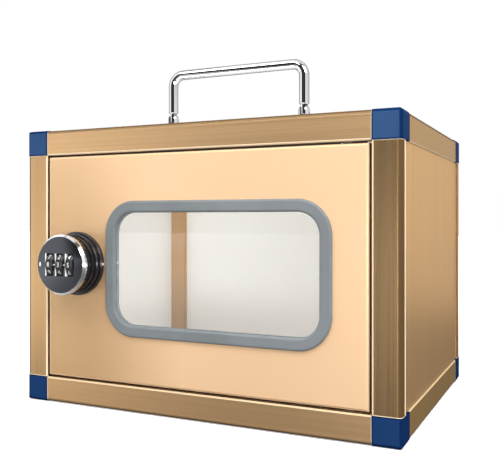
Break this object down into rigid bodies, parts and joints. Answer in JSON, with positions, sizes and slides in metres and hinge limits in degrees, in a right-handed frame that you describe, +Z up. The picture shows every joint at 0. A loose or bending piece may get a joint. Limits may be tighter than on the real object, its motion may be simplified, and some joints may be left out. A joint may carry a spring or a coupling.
{
  "type": "phone lock box",
  "caption": "Framed gold lock box for phones, with an inset windowed door, a round combination lock and a folding carry handle.",
  "frame": {"origin": "On the surface the box stands on, midway across the box and midway between the front of the lock's dials and the back of the case.", "axes": "+X to the right seen from the front, +Y from the door to the back, +Z up."},
  "size_m": [0.31, 0.254, 0.275],
  "materials": {
    "gold_extrusion": "gold anodised, brushed along each length",
    "gold_panel": "gold anodised outside with an upright brush, white inside",
    "door_gold": "smooth satin champagne gold",
    "blue_plastic": "moulded, semi-gloss",
    "grey_rubber": "matte grey rubber",
    "black_rubber": "matte black rubber",
    "clear_pane": "clear",
    "chrome": "polished chrome plate",
    "black_plastic": "gloss black",
    "dial_plastic": "matte black with pale numbers",
    "steel": "zinc-plated steel",
    "nylon": "natural nylon"
  },
  "bodies": {
    "case": {"post_front_left": "gold_extrusion", "post_front_right": "gold_extrusion", "post_back_left": "gold_extrusion", "post_back_right": "gold_extrusion", "rail_front_bottom": "gold_extrusion", "rail_front_top": "gold_extrusion", "rail_back_bottom": "gold_extrusion", "rail_back_top": "gold_extrusion", "rail_left_bottom": "gold_extrusion", "rail_left_top": "gold_extrusion", "rail_right_bottom": "gold_extrusion", "rail_right_top": "gold_extrusion", "corner_front_left_bottom": "blue_plastic", "corner_front_right_bottom": "blue_plastic", "corner_back_left_bottom": "blue_plastic", "corner_back_right_bottom": "blue_plastic", "corner_front_left_top": "blue_plastic", "corner_front_right_top": "blue_plastic", "corner_back_left_top": "blue_plastic", "corner_back_right_top": "blue_plastic", "panel_left": "gold_panel", "panel_right": "gold_panel", "panel_back": "gold_panel", "panel_bottom": "gold_panel", "panel_top": "gold_panel", "hinge_bush_bottom": "nylon", "hinge_bush_top": "nylon", "strike": "steel", "strike_screws": "steel", "door_bumpers": "black_rubber", "handle_foot_left": "chrome", "handle_foot_right": "chrome", "handle_pin_left": "steel", "handle_pin_right": "steel", "handle_screws": "steel", "handle_washers": "steel"},
    "door": {"door_sheet": "door_gold", "window_gasket": "grey_rubber", "window_pane": "clear_pane", "hinge_block_bottom": "steel", "hinge_block_top": "steel", "hinge_pin_bottom": "steel", "hinge_pin_top": "steel", "hinge_rivets": "steel", "lock_base": "black_plastic", "lock_nut": "steel"},
    "knob": {"lock_knob": "black_plastic", "lock_face": "chrome", "dial_axle": "steel", "detent_spring": "steel", "lock_spindle": "steel", "lock_cam": "steel", "cam_screw": "steel"},
    "dial_left": {"lock_dial_left": "dial_plastic"},
    "dial_middle": {"lock_dial_middle": "dial_plastic"},
    "dial_right": {"lock_dial_right": "dial_plastic"},
    "handle": {"handle_bar": "chrome"}
  },
  "joints": [
    {"name": "door_swing", "type": "hinge", "parent": "case", "child": "door", "pos_m": [0.117, -0.09505, 0.11], "axis": [0, 0, 1], "range_deg": [0, 120]},
    {"name": "knob_turn", "type": "hinge", "parent": "door", "child": "knob", "pos_m": [-0.103, -0.10255, 0.113], "axis": [0, 1, 0], "range_deg": [0, 90]},
    {"name": "dial_left_turn", "type": "hinge", "parent": "knob", "child": "dial_left", "pos_m": [-0.1126, -0.11705, 0.113], "axis": [1, 0, 0], "continuous": true},
    {"name": "dial_middle_turn", "type": "hinge", "parent": "knob", "child": "dial_middle", "pos_m": [-0.103, -0.11705, 0.113], "axis": [1, 0, 0], "continuous": true},
    {"name": "dial_right_turn", "type": "hinge", "parent": "knob", "child": "dial_right", "pos_m": [-0.0934, -0.11705, 0.113], "axis": [1, 0, 0], "continuous": true},
    {"name": "handle_fold", "type": "hinge", "parent": "case", "child": "handle", "pos_m": [0, -0.02895, 0.2336], "axis": [-1, 0, 0], "range_deg": [0, 90]}
  ]
}
